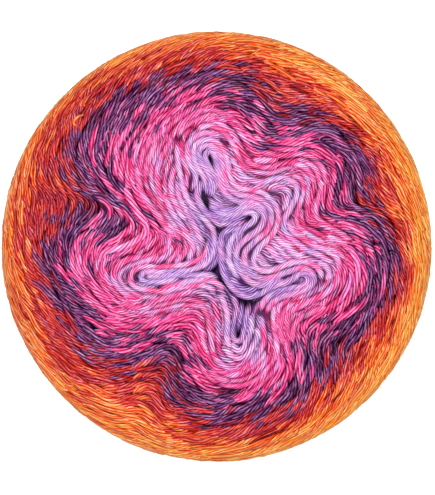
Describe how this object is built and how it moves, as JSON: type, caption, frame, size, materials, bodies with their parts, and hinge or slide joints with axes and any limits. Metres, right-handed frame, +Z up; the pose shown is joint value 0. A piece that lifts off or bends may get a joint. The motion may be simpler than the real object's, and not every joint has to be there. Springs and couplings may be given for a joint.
{
  "type": "yarn cake",
  "caption": "Flat round cake of colour-changing yarn, its wound layers folded around a closed-up core slit, resting on its flat underside.",
  "frame": {"origin": "middle of the flat underside, on the axis of the round rim", "axes": "+Z up along the winding axis, +X and +Y across the cake, with the slit's long north arm pointing towards +Y"},
  "size_m": [0.15, 0.15, 0.06],
  "materials": {
    "yarn": "matt soft cotton yarn of four loose strands, running from pale lilac at the core through hot pink, plum and red to orange at the rim"
  },
  "bodies": {
    "root": {"wound_yarn": "yarn"}
  },
  "joints": []
}
